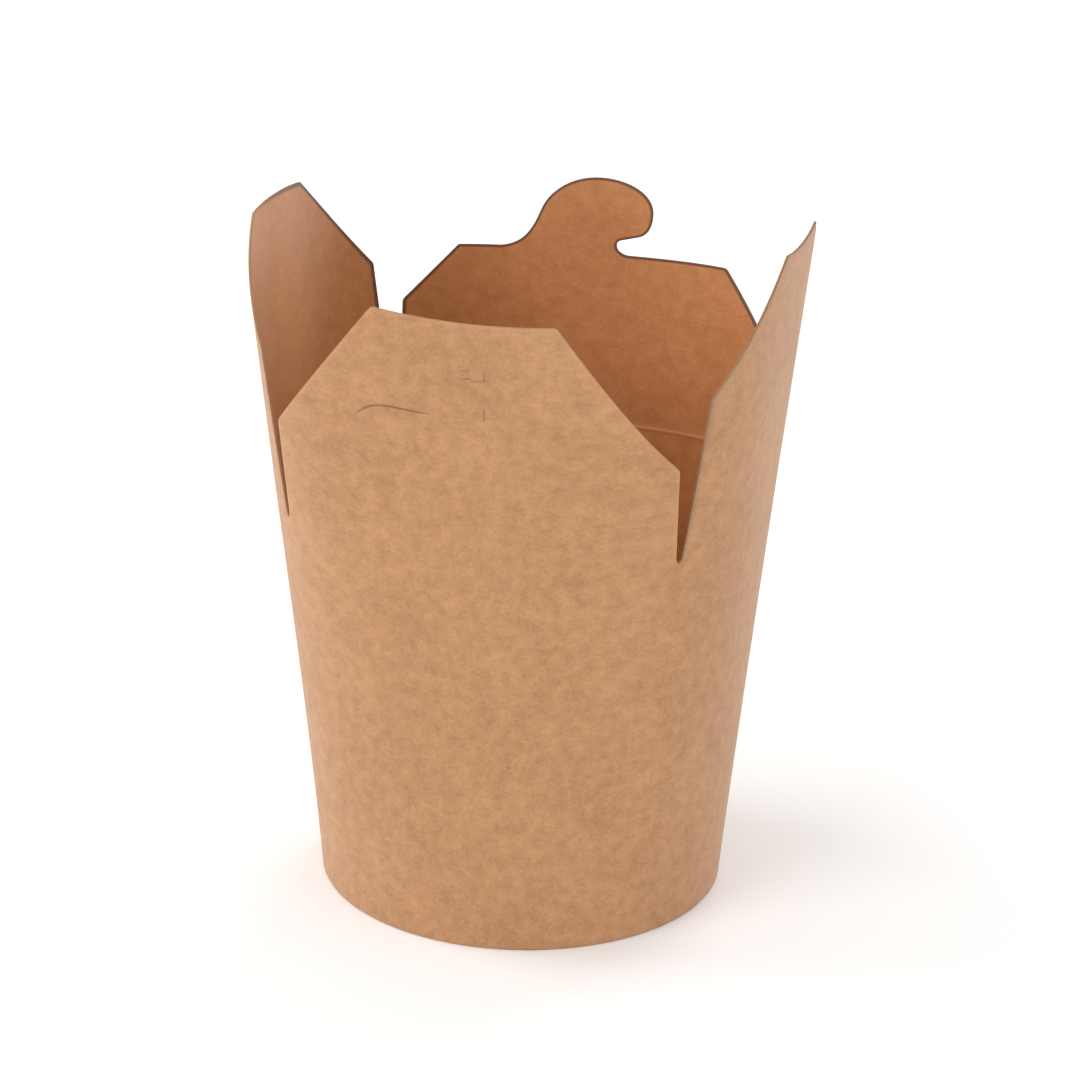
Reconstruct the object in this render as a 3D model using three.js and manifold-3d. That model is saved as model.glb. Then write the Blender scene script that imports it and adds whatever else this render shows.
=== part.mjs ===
// Takeaway noodle box: a round-footed kraft board sleeve whose mouth turns into a rounded square,
// with four closing flaps, a hooked tab on the back flap and a curved slit in the front flap.
// Millimetres, +Z up, front flap towards -Y, origin on the resting plane under the box's middle.
import * as THREE from 'three';
import { mergeVertices } from 'three/addons/utils/BufferGeometryUtils.js';
import Module from 'manifold-3d';

const BOARD = 0.5;
const GAP = 0.3;

// sleeve: a circle at the foot, a rounded square at the crease where the flaps begin
const FOOT_R = 42;
const CREASE_Z = 83.8;
const CREASE_HALF_X = 48.9;
const CREASE_HALF_Y = 45;
const CREASE_POWER = 2.714;
const POWER_GROWTH = 1.5;
const SLEEVE_STEPS = 96;

// bottom: a disc set up inside the sleeve, its skirt gripped by the turned-in hem
const HEM_H = 6.5;
const DISC_Z = 7.2;

// flaps: lean outwards per mm of height, flattening per mm, outline in mm above the crease
const FRONT = {
  lean: 0.0426, flatten: 0.0279, foot: 38.7, shoulder: [40, 20.8], crown: [18, 48.5], dip: 1.1, tilt: -0.018,
};
const BACK = {
  lean: 0.0426, flatten: 0.0049, foot: 38.7, shoulder: [39.1, 25.5], crown: [29.2, 37.1], dip: 0, tilt: 0.006,
};
const LEFT = {
  lean: 0.0947, flatten: 0.0037, foot: 32.3, shoulder: [33.1, 34.2], crown: [13.5, 55.9], dip: 0, tilt: 0,
};
const RIGHT = {
  lean: 0.0947, flatten: 0.0037, foot: 32.3, shoulder: [33.2, 34], crown: [13.4, 57], dip: 0, tilt: 0.012,
};
const CORNER_R = 0.7;
const FLAP_COLUMNS = 30;
const FLAP_ROWS = 8;

// curved slit in the front flap: half-width points and heights above the crease
const SLIT_W = 0.4;
const SLIT = [[-22.5, 26.3], [-19.9, 28.5], [-18, 29.4], [-15.6, 29.7], [-10.4, 29.25], [-5.3, 28.8]];

const wasm = await Module();
wasm.setup();

function outer(phi, z, flap) {
  const t = Math.min(z / CREASE_Z, 1);
  const up = Math.max(z - CREASE_Z, 0);
  const lean = flap ? flap.lean * up : 0;
  const a = FOOT_R + (CREASE_HALF_X - FOOT_R) * t + lean;
  const b = FOOT_R + (CREASE_HALF_Y - FOOT_R) * t + lean;
  const power = 2 + (CREASE_POWER - 2) * t ** POWER_GROWTH + (flap ? flap.flatten * up : 0);
  const x = Math.sin(phi);
  const y = -Math.cos(phi);
  const r = (Math.abs(x / a) ** power + Math.abs(y / b) ** power) ** (-1 / power);
  return new THREE.Vector3(r * x, r * y, z);
}

// point at a depth into the board, measured square to its outer face
function sheet(phi, z, depth, flap) {
  const p = outer(phi, z, flap);
  if (depth === 0) return p;
  const e = 0.002;
  const along = outer(phi + e, z, flap).sub(outer(phi - e, z, flap));
  const inwards = new THREE.Vector3(-along.y, along.x, 0).normalize();
  return p.addScaledVector(inwards, depth);
}

function mesh(name, geometry, color, roughness) {
  const m = new THREE.Mesh(geometry, new THREE.MeshStandardMaterial({ color, roughness, metalness: 0 }));
  m.name = name;
  return m;
}

function geometryOf(positions, index) {
  const g = new THREE.BufferGeometry();
  g.setAttribute('position', new THREE.Float32BufferAttribute(positions, 3));
  g.setIndex(index);
  return g;
}

// closed band: a profile of [depth, z] points carried once round the sleeve
function band(profile) {
  const positions = [];
  const index = [];
  const n = profile.length;
  for (let i = 0; i < SLEEVE_STEPS; i++) {
    const phi = (2 * Math.PI * i) / SLEEVE_STEPS;
    for (const [depth, z] of profile) positions.push(...sheet(phi, z, depth).toArray());
    for (let j = 0; j < n; j++) {
      const a = i * n + j;
      const b = i * n + ((j + 1) % n);
      const c = ((i + 1) % SLEEVE_STEPS) * n + ((j + 1) % n);
      const d = ((i + 1) % SLEEVE_STEPS) * n + j;
      index.push(a, d, c, a, c, b);
    }
  }
  return geometryOf(positions, index);
}

// closed cap: rings of [depth, z] from the middle of the top to the middle of the underside
function cap(top, rings, under) {
  const positions = [0, 0, top];
  const index = [];
  for (const [depth, z] of rings) {
    for (let i = 0; i < SLEEVE_STEPS; i++) {
      positions.push(...sheet((2 * Math.PI * i) / SLEEVE_STEPS, z, depth).toArray());
    }
  }
  positions.push(0, 0, under);
  const last = rings.length * SLEEVE_STEPS + 1;
  for (let i = 0; i < SLEEVE_STEPS; i++) {
    const j = (i + 1) % SLEEVE_STEPS;
    index.push(0, 1 + i, 1 + j);
    for (let k = 0; k + 1 < rings.length; k++) {
      const a = 1 + k * SLEEVE_STEPS;
      const b = a + SLEEVE_STEPS;
      index.push(a + i, b + i, b + j, a + i, b + j, a + j);
    }
    index.push(last, last - SLEEVE_STEPS + j, last - SLEEVE_STEPS + i);
  }
  return geometryOf(positions, index);
}

// closed curved panel of board, wider and taller than the flap that is cut from it
function panel(flap, middle, halfAngle, height) {
  const positions = [];
  const index = [];
  const row = FLAP_COLUMNS + 1;
  const layer = row * (FLAP_ROWS + 1);
  for (const depth of [0, BOARD]) {
    for (let j = 0; j <= FLAP_ROWS; j++) {
      const z = CREASE_Z + GAP + (height - GAP) * (j / FLAP_ROWS);
      for (let i = 0; i <= FLAP_COLUMNS; i++) {
        const phi = middle + halfAngle * ((2 * i) / FLAP_COLUMNS - 1);
        positions.push(...sheet(phi, z, depth, flap).toArray());
      }
    }
  }
  const quad = (a, b, c, d) => index.push(a, b, c, a, c, d);
  for (let j = 0; j < FLAP_ROWS; j++) {
    for (let i = 0; i < FLAP_COLUMNS; i++) {
      const a = j * row + i;
      quad(a, a + 1, a + row + 1, a + row);
      quad(layer + a, layer + a + row, layer + a + row + 1, layer + a + 1);
    }
    const l = j * row;
    const r = l + FLAP_COLUMNS;
    quad(l, l + row, layer + l + row, layer + l);
    quad(r, layer + r, layer + r + row, r + row);
  }
  for (let i = 0; i < FLAP_COLUMNS; i++) {
    const t = FLAP_ROWS * row + i;
    quad(i, layer + i, layer + i + 1, i + 1);
    quad(t, t + 1, layer + t + 1, layer + t);
  }
  return geometryOf(positions, index);
}

function solid(geometry) {
  const g = geometry.clone();
  g.deleteAttribute('normal');
  g.deleteAttribute('uv');
  const merged = mergeVertices(g, 1e-5);
  return new wasm.Manifold(new wasm.Mesh({
    numProp: 3,
    vertProperties: new Float32Array(merged.attributes.position.array),
    triVerts: new Uint32Array(merged.index.array),
  }));
}

function fromSolid(body) {
  const m = body.getMesh();
  return geometryOf(Array.from(m.vertProperties), Array.from(m.triVerts));
}

// outline corners joined by straight edges, each corner with a radius rounded off
function rounded(shape, corners) {
  const n = corners.length;
  for (let i = 0; i < n; i++) {
    const [x, z, r] = corners[i];
    const here = new THREE.Vector2(x, z);
    const before = new THREE.Vector2(...corners[(i + n - 1) % n].slice(0, 2)).sub(here).normalize();
    const after = new THREE.Vector2(...corners[(i + 1) % n].slice(0, 2)).sub(here).normalize();
    const start = here.clone().addScaledVector(before, r);
    const end = here.clone().addScaledVector(after, r);
    if (i === 0) shape.moveTo(start.x, start.y);
    else shape.lineTo(start.x, start.y);
    if (r > 0) shape.quadraticCurveTo(x, z, end.x, end.y);
  }
  shape.closePath();
  return shape;
}

// flap outline seen square on, drawn on the plane of width and height
function outline(flap, tab) {
  const tilt = (x, h) => CREASE_Z + h + flap.tilt * x;
  const [sx, sh] = flap.shoulder;
  const [cx, ch] = flap.crown;
  const shape = new THREE.Shape();
  shape.moveTo(-flap.foot - 4, CREASE_Z - 5);
  shape.lineTo(flap.foot + 4, CREASE_Z - 5);
  shape.lineTo(flap.foot + 4, CREASE_Z);
  shape.lineTo(flap.foot, CREASE_Z);
  const side = new THREE.Vector2(sx - flap.foot, sh).normalize();
  const chamfer = new THREE.Vector2(cx - sx, ch - sh).normalize();
  const R = CORNER_R;
  shape.lineTo(sx - side.x * R, tilt(sx, sh - side.y * R));
  shape.quadraticCurveTo(sx, tilt(sx, sh), sx + chamfer.x * R, tilt(sx, sh + chamfer.y * R));
  shape.lineTo(cx - chamfer.x * R, tilt(cx, ch - chamfer.y * R));
  shape.quadraticCurveTo(cx, tilt(cx, ch), cx - R, tilt(cx, ch));
  if (tab) tab(shape);
  else shape.quadraticCurveTo(0, tilt(0, ch - 2 * flap.dip), -cx + R, tilt(-cx, ch));
  shape.quadraticCurveTo(-cx, tilt(-cx, ch), -cx - chamfer.x * -R, tilt(-cx, ch - chamfer.y * R));
  shape.lineTo(-sx - chamfer.x * R, tilt(-sx, sh + chamfer.y * R));
  shape.quadraticCurveTo(-sx, tilt(-sx, sh), -sx + side.x * R, tilt(-sx, sh - side.y * R));
  shape.lineTo(-flap.foot, CREASE_Z);
  shape.lineTo(-flap.foot - 4, CREASE_Z);
  shape.closePath();
  return shape;
}

// hooked tab on the back flap's top edge, its head leaning to +X over an undercut slot
function hookTab(shape) {
  const z = CREASE_Z + BACK.crown[1];
  shape.lineTo(8.6, z - 0.1);
  shape.bezierCurveTo(5, z - 0.3, 4.4, z + 2.5, 6, z + 3);
  shape.lineTo(10.1, z + 4.1);
  shape.bezierCurveTo(12.4, z + 4.8, 13, z + 7.5, 12.9, z + 9.6);
  shape.bezierCurveTo(12.7, z + 13.4, 7.6, z + 16.1, 1.5, z + 16.1);
  shape.bezierCurveTo(-5, z + 16.1, -10, z + 12.4, -11.6, z + 8.4);
  shape.bezierCurveTo(-13.6, z + 3.2, -15.6, z + 0.6, -20, z - 0.05);
  shape.lineTo(-BACK.crown[0] + CORNER_R, z - 0.15);
}

function slitSolid() {
  const pts = SLIT.map(([x, h]) => new THREE.Vector2(x, CREASE_Z + h));
  const curve = new THREE.SplineCurve(pts);
  const left = [];
  const right = [];
  for (let i = 0; i <= 14; i++) {
    const p = curve.getPoint(i / 14);
    const t = curve.getTangent(i / 14);
    const n = new THREE.Vector2(-t.y, t.x).multiplyScalar(SLIT_W / 2);
    left.push(p.clone().add(n));
    right.unshift(p.clone().sub(n));
  }
  return solid(prism(new THREE.Shape([...right, ...left]), 'front'));
}

// prism of an outline through the board, pointing out of the box on the flap's side
function prism(shape, side) {
  const g = new THREE.ExtrudeGeometry(shape, { depth: 70, bevelEnabled: false, curveSegments: 10 });
  g.rotateX(Math.PI / 2);
  if (side === 'back') g.translate(0, 70, 0);
  if (side === 'right') g.rotateZ(Math.PI / 2);
  if (side === 'left') g.rotateZ(Math.PI / 2).translate(-70, 0, 0);
  return g;
}

function flapSolid(flap, side, middle, halfAngle, height, tab) {
  const blank = solid(panel(flap, middle, halfAngle, height));
  return blank.intersect(solid(prism(outline(flap, tab), side)));
}

const KRAFT = 0xb98b60;
const box = new THREE.Group();

const wallRows = Array.from({ length: 9 }, (_, i) => (CREASE_Z * i) / 8);
const hemIn = 3 * BOARD + 2 * GAP;
box.add(mesh('wall', band([
  ...wallRows.map((z) => [0, z]),
  ...wallRows.slice(1).reverse().map((z) => [BOARD, z]),
  [BOARD, BOARD],
  [2 * BOARD + 2 * GAP, BOARD],
  [2 * BOARD + 2 * GAP, HEM_H],
  [hemIn, HEM_H],
  [hemIn, 0],
]), KRAFT, 0.85));

box.add(mesh('base', cap(DISC_Z + BOARD, [
  [BOARD + GAP, DISC_Z + BOARD],
  [BOARD + GAP, BOARD + GAP],
  [2 * BOARD + GAP, BOARD + GAP],
  [2 * BOARD + GAP, DISC_Z],
], DISC_Z), 0xa97e55, 0.7));

const front = flapSolid(FRONT, 'front', 0, 0.98, 52).subtract(slitSolid());
box.add(mesh('flap_front', fromSolid(front), KRAFT, 0.85));
const back = flapSolid(BACK, 'back', Math.PI, 0.98, 56, hookTab);
box.add(mesh('flap_back', fromSolid(back), KRAFT, 0.85));
const right = flapSolid(RIGHT, 'right', Math.PI / 2, 0.86, 60);
box.add(mesh('flap_right', fromSolid(right), KRAFT, 0.85));
const left = flapSolid(LEFT, 'left', -Math.PI / 2, 0.86, 60);
box.add(mesh('flap_left', fromSolid(left), KRAFT, 0.85));

export default box;
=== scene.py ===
import math

import bmesh
import bpy
import numpy as np
from mathutils import Matrix, Vector
from mathutils.geometry import delaunay_2d_cdt


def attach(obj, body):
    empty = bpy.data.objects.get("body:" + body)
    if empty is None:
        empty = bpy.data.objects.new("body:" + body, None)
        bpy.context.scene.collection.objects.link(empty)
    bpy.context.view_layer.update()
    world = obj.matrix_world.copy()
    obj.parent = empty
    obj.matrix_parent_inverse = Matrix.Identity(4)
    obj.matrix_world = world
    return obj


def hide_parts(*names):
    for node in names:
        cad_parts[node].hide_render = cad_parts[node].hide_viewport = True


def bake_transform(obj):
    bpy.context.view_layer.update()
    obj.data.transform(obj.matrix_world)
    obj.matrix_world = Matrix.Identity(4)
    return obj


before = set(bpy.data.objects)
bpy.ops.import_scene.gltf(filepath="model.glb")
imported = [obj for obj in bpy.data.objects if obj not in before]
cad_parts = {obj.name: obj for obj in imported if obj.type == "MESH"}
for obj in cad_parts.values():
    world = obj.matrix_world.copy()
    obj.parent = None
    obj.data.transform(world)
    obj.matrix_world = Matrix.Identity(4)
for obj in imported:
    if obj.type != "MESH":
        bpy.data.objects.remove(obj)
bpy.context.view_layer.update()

# The box is laid out in millimetres and scaled to metres as each mesh is made.
MM = 0.001

# The board: its thickness, the play between two layers, and how its cut edges round off.
BOARD = 0.5
LAYER_GAP = 0.3
CUT_ROUND = 0.06
CUT_IN = 0.09
# The three kinds of face that it has, each with a finish of its own.
OUTER, INNER, CUT = range(3)
FACE_NAMES = ("Outer", "Inner", "Cut Edge")

# The sleeve: a circle at the foot, squared up by a growing corner power at the creases.
FOOT_R = 42
FOOT_POWER = 2.0
CREASE_Z = 83.8
CREASE_HALF_X = 48.9
CREASE_HALF_Y = 45
CREASE_POWER = 2.714
POWER_GROWTH = 1.5
SHEET_R = 45.0

# The hem, its fold's outer and inner corners by (in from the face, up), and the ribs pressed into it.
HEM_H = 6.5
FOLD_OUT = ((0.0, 0.42), (0.13, 0.12), (0.45, 0.0))
FOLD_IN = ((0.0, 0.62), (0.12, 0.5))
CRIMPS = 132
CRIMP_WIDTH, CRIMP_HEIGHT, CRIMP_DEPTH, CRIMP_Z = 1.25, 4.6, 0.42, 3.3

# The bottom disc, with the size of its first and last rings and how many there are, and its skirt.
DISC_Z = 7.2
DISC_SAG = 0.25
DISC_FIRST, DISC_LAST, DISC_RINGS = 0.06, 0.965, 22
SKIRT_FOOT, SKIRT_MIDDLE = 0.85, 3.5

# The glued lap's free edges: half the overlap, the run over which an edge thins out, its height as a
# share of the board, and how far its back sinks in. Then the ridge pressed in along the creases.
LAP_HALF = 4.0
LAP_TAPER = 13.0
LAP_RISE = 0.92
LAP_SINK = 0.05
BEAD_H = 0.14
BEAD_REACH = 0.42

# The flaps: the notches' place and foot, the height over which a flap takes up its own lean, and
# the rows and grid of points that its mesh is built on.
NOTCH = 49.95
NOTCH_FOOT = 1.0
EASE = 4
ON_CREASE = 0.01
CREASE_ROWS = (0.2, 0.42, 0.7, 1.1)
FRINGE_Z = 1.3
FLAP_GRID = 1.5
LINE_STEP = 1.3
CORNER_R = 0.6
# The least strength of the rim painted along a flap's edge, a dark rim partly of painted shade and partly
# of burr.
LEAST_RIM = 0.15

# Each flap, with angles round the box in degrees: the middle and half width of its crease, how far it
# leans out and squares up for each millimetre up, and half its width at the notches. Its shoulder and
# crown are corners (half width, height). Its top edge dips, tilts and shifts, and its chamfers bulge.
# The fringe is the first row of points in from its edge, and the last entry is how strongly a rim is
# painted along that edge, mostly a dark rim that is partly painted shade and partly burr: a level and how
# the level grows across.
FLAPS = {
    "front": dict(
        middle=0, half=NOTCH, lean=0.0426, flatten=0.0279, foot=39.15,
        shoulder=(40.0, 20.8), crown=(18.0, 48.5), dip=1.1, tilt=-0.018, shift=0.0, bulge=0.0,
        fringe=0.7, rim_strength=(1.0, 0.0),
    ),
    "right": dict(
        middle=90, half=90 - NOTCH, lean=0.0947, flatten=0.0037, foot=32.8,
        shoulder=(33.2, 34.0), crown=(13.4, 56.94), dip=0.9, tilt=0.012, shift=0.0, bulge=0.8,
        fringe=1.1, rim_strength=(0.5, 0.0),
    ),
    "back": dict(
        middle=180, half=NOTCH, lean=0.0426, flatten=0.0049, foot=39.15,
        shoulder=(39.3, 26.0), crown=(29.5, 37.35), dip=0.0, tilt=0.006, shift=0.5, bulge=0.0,
        fringe=0.7, rim_strength=(1.0, 0.0),
    ),
    "left": dict(
        middle=-90, half=90 - NOTCH, lean=0.0947, flatten=0.0037, foot=32.8,
        shoulder=(33.1, 34.2), crown=(13.5, 55.8), dip=-0.6, tilt=0.0, shift=-1.3, bulge=1.0,
        fringe=1.1, rim_strength=(0.6, 0.03),
    ),
}
WIDE_FLAPS = ("front", "back")

# The slit in the front flap by (across, height above the crease), how far the painted shade along it
# fades in from its left and right ends, and the lip that is pushed out below it.
SLIT = [(-22.5, 26.3), (-19.9, 28.5), (-18.0, 29.4), (-15.6, 29.7), (-10.4, 29.25), (-5.3, 28.8)]
SLIT_W = 0.05
SLIT_POINTS = 25
SLIT_FRINGE = 0.4
SLIT_FADE = (2.5, 6)
LIP = 0.12
LIP_ENDS = 3
LIP_REACH = 4.5


# --- the shape of the board -----------------------------------------------------------------

def section(z, flap=None):
    """Half widths and corner power of the box's outline at a height, up a flap where one is given."""
    z = np.asarray(z, float)
    t = np.clip(z / CREASE_Z, 0, 1)
    a = FOOT_R + (CREASE_HALF_X - FOOT_R) * t
    b = FOOT_R + (CREASE_HALF_Y - FOOT_R) * t
    power = FOOT_POWER + (CREASE_POWER - FOOT_POWER) * t ** POWER_GROWTH
    if flap:
        up = np.maximum(z - CREASE_Z, 0)
        ease = EASE * (1 - np.exp(-up / EASE))
        wall_x = (CREASE_HALF_X - FOOT_R) / CREASE_Z
        wall_y = (CREASE_HALF_Y - FOOT_R) / CREASE_Z
        growth = POWER_GROWTH * (CREASE_POWER - FOOT_POWER) / CREASE_Z
        a = a + flap["lean"] * up + (wall_x - flap["lean"]) * ease
        b = b + flap["lean"] * up + (wall_y - flap["lean"]) * ease
        power = power + flap["flatten"] * up + (growth - flap["flatten"]) * ease
    return a, b, power


def round_wall(phi, z):
    """Outer face of the sleeve by angle (0 in front, 90 at the right) and height."""
    a, b, n = section(z)
    x, y = np.sin(phi), -np.cos(phi)
    r = (np.abs(x / a) ** n + np.abs(y / b) ** n) ** (-1 / n)
    return np.stack([r * x, r * y, np.broadcast_to(z, r.shape)], -1)


def flap_face(name, u, z):
    """Outer face of a flap by its place across the box and height."""
    flap = FLAPS[name]
    a, b, n = section(z, flap)
    if name in WIDE_FLAPS:
        v = b * np.maximum(1 - np.abs(u / a) ** n, 1e-6) ** (1 / n)
        return np.stack([u, -v if name == "front" else v, z], -1)
    v = a * np.maximum(1 - np.abs(u / b) ** n, 1e-6) ** (1 / n)
    return np.stack([v if name == "right" else -v, u, z], -1)


def into_board(surface, p, q, depth):
    """Points at a depth under the outer face that surface gives for two coordinates."""
    nudge = 0.01
    here = surface(p, q)
    across = surface(p + nudge, q) - surface(p - nudge, q)
    upward = surface(p, q + nudge) - surface(p, q - nudge)
    normal = np.cross(across, upward)
    normal /= np.linalg.norm(normal, axis=-1, keepdims=True)
    outward = here * (1, 1, 0)
    normal *= np.sign((normal * outward).sum(-1))[..., None]
    return here - normal * np.asarray(depth, float)[..., None]


def wall_point(phi, z, depth):
    """Points at a depth under the sleeve's outer face, by angle and height."""
    return into_board(lambda p, q: round_wall(p / SHEET_R, q), phi * SHEET_R, z, depth)


def sheet_angle(points, middle):
    """Angle round the box of each point, within half a turn of the flap's middle."""
    phi = np.arctan2(points[:, 0], -points[:, 1])
    centre = math.radians(middle)
    return centre + (phi - centre + math.pi) % (2 * math.pi) - math.pi


def crease_bead(z):
    """Height of the pressed ridge that stands on the inner face along the crease."""
    return BEAD_H * np.exp(-((np.asarray(z, float) - CREASE_Z) / BEAD_REACH) ** 2)


# --- node trees ---------------------------------------------------------------------------

NUMBER, VECTOR, COUNT = "NodeSocketFloat", "NodeSocketVector", "NodeSocketInt"
SHAPE, FINISH = "NodeSocketGeometry", "NodeSocketMaterial"


class Nodes:
    """Adds and joins the nodes of one tree."""

    def __init__(self, tree):
        self.tree = tree

    def add(self, kind, inputs=None, **settings):
        node = self.tree.nodes.new(kind)
        for key, value in settings.items():
            setattr(node, key, value)
        for key, value in (inputs or {}).items():
            if isinstance(value, bpy.types.NodeSocket):
                self.tree.links.new(value, node.inputs[key])
            else:
                node.inputs[key].default_value = value
        return node

    def math(self, operation, a, b=0.0, c=0.0, clamp=False):
        node = self.add("ShaderNodeMath", {0: a, 1: b, 2: c}, operation=operation, use_clamp=clamp)
        return node.outputs[0]

    def vector(self, operation, a, b=(0, 0, 0), scale=None):
        inputs = {0: a, 1: b}
        if scale is not None:
            inputs["Scale"] = scale
        node = self.add("ShaderNodeVectorMath", inputs, operation=operation)
        return node.outputs["Value" if operation in ("LENGTH", "DOT_PRODUCT") else "Vector"]

    def ramp(self, value, low, high, to_low=0.0, to_high=1.0, smooth=True):
        node = self.add(
            "ShaderNodeMapRange", {0: value, 1: low, 2: high, 3: to_low, 4: to_high},
            interpolation_type="SMOOTHSTEP" if smooth else "LINEAR",
        )
        return node.outputs[0]

    def noise(self, place, scale, detail=3.0, rough=0.55, distort=0.0, colour=False):
        node = self.add(
            "ShaderNodeTexNoise",
            {"Vector": place, "Scale": scale, "Detail": detail, "Roughness": rough, "Distortion": distort},
        )
        return node.outputs["Color" if colour else "Fac"]

    def mix(self, amount, a, b):
        return self.add("ShaderNodeMix", {0: amount, 6: a, 7: b}, data_type="RGBA").outputs[2]


def new_group(name, inputs, outputs, kind="ShaderNodeTree"):
    """An empty group of nodes with its sockets, as (label, type, value) going in and (label, type) out."""
    tree = bpy.data.node_groups.new(name, kind)
    for label, socket_type, value in inputs:
        socket = tree.interface.new_socket(label, in_out="INPUT", socket_type=socket_type)
        if value is not None:
            socket.default_value = value
    for label, socket_type in outputs:
        tree.interface.new_socket(label, in_out="OUTPUT", socket_type=socket_type)
    nodes = Nodes(tree)
    return nodes, nodes.add("NodeGroupInput"), nodes.add("NodeGroupOutput")


# --- the rolled sheet ---------------------------------------------------------------------

ROLL_SIZES = {
    "Foot Radius": FOOT_R * MM, "Crease Height": CREASE_Z * MM,
    "Crease Half Width": CREASE_HALF_X * MM, "Crease Half Depth": CREASE_HALF_Y * MM,
    "Crease Power": CREASE_POWER, "Power Growth": POWER_GROWTH, "Sheet Radius": SHEET_R * MM,
}
ROLL_SOCKETS = [(name, NUMBER, value) for name, value in ROLL_SIZES.items()]


def wall_rule_group():
    """Outer face by angle and height: a circle at the foot that squares up towards the crease."""
    n, given, made = new_group(
        "wall_rule", [("Turn", NUMBER, 0.0), ("Rise", NUMBER, 0.0), *ROLL_SOCKETS],
        [("Place", VECTOR)], "GeometryNodeTree",
    )
    size = given.outputs
    share = n.math("DIVIDE", size["Rise"], size["Crease Height"], clamp=True)

    def widened(end):
        growth = n.math("SUBTRACT", end, size["Foot Radius"])
        return n.math("MULTIPLY_ADD", growth, share, size["Foot Radius"])

    squareness = n.math("POWER", share, size["Power Growth"])
    squaring = n.math("SUBTRACT", size["Crease Power"], FOOT_POWER)
    power = n.math("MULTIPLY_ADD", squaring, squareness, FOOT_POWER)
    x = n.math("SINE", size["Turn"])
    y = n.math("MULTIPLY", n.math("COSINE", size["Turn"]), -1.0)
    terms = [
        n.math("POWER", n.math("DIVIDE", n.math("ABSOLUTE", part), widened(size[half])), power)
        for part, half in ((x, "Crease Half Width"), (y, "Crease Half Depth"))
    ]
    reach = n.math("POWER", n.math("ADD", *terms), n.math("DIVIDE", -1.0, power))
    x, y = n.math("MULTIPLY", reach, x), n.math("MULTIPLY", reach, y)
    place = n.add("ShaderNodeCombineXYZ", {0: x, 1: y, 2: size["Rise"]})
    n.tree.links.new(place.outputs[0], made.inputs["Place"])
    return n.tree


def rolled_place_group(rule):
    """Where a point of the flat sheet (round, up, out of the board) lies once the sheet is rolled."""
    n, given, made = new_group(
        "rolled_place", [("Flat", VECTOR, (0, 0, 0)), *ROLL_SOCKETS],
        [("Place", VECTOR)], "GeometryNodeTree",
    )
    flat = n.add("ShaderNodeSeparateXYZ", {0: given.outputs["Flat"]}).outputs
    nudge = 0.1 * MM
    sizes = {name: given.outputs[name] for name in ROLL_SIZES}

    def at(along, up):
        turn = n.math("DIVIDE", n.math("ADD", flat[0], along), given.outputs["Sheet Radius"])
        rise = n.math("ADD", flat[1], up)
        return n.add("GeometryNodeGroup", {"Turn": turn, "Rise": rise, **sizes}, node_tree=rule).outputs[0]

    across = n.vector("SUBTRACT", at(nudge, 0), at(-nudge, 0))
    upward = n.vector("SUBTRACT", at(0, nudge), at(0, -nudge))
    normal = n.vector("NORMALIZE", n.vector("CROSS_PRODUCT", across, upward))
    place = n.vector("ADD", at(0, 0), n.vector("SCALE", normal, scale=flat[2]))
    n.tree.links.new(place, made.inputs["Place"])
    return n.tree


def roll(n, given, shape):
    """Rolls a flat shape into the box inside the tree that n is building."""
    flat = n.add("GeometryNodeInputPosition").outputs[0]
    sizes = {name: given.outputs[name] for name in ROLL_SIZES}
    place = n.add("GeometryNodeGroup", {"Flat": flat, **sizes}, node_tree=ROLLED_PLACE).outputs[0]
    return n.add("GeometryNodeSetPosition", {"Geometry": shape, "Position": place}).outputs[0]


def rolled_board_tree():
    """Rolls a flat strip of board and gives its outer, inner and cut faces their finishes."""
    n, given, made = new_group(
        "rolled_board",
        [("Geometry", SHAPE, None), *ROLL_SOCKETS, *[(face, FINISH, None) for face in FACE_NAMES]],
        [("Geometry", SHAPE)], "GeometryNodeTree",
    )
    shape = roll(n, given, given.outputs["Geometry"])
    shape = n.add("GeometryNodeRealizeInstances", {"Geometry": shape}).outputs[0]
    side = n.add("GeometryNodeInputNamedAttribute", {"Name": "side"}, data_type="INT").outputs[0]
    for number, face in enumerate(FACE_NAMES):
        chosen = n.add("FunctionNodeCompare", {2: side, 3: number}, data_type="INT", operation="EQUAL")
        shape = n.add(
            "GeometryNodeSetMaterial",
            {"Geometry": shape, "Selection": chosen.outputs[0], "Material": given.outputs[face]},
        ).outputs[0]
    n.tree.links.new(shape, made.inputs["Geometry"])
    return n.tree


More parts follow.
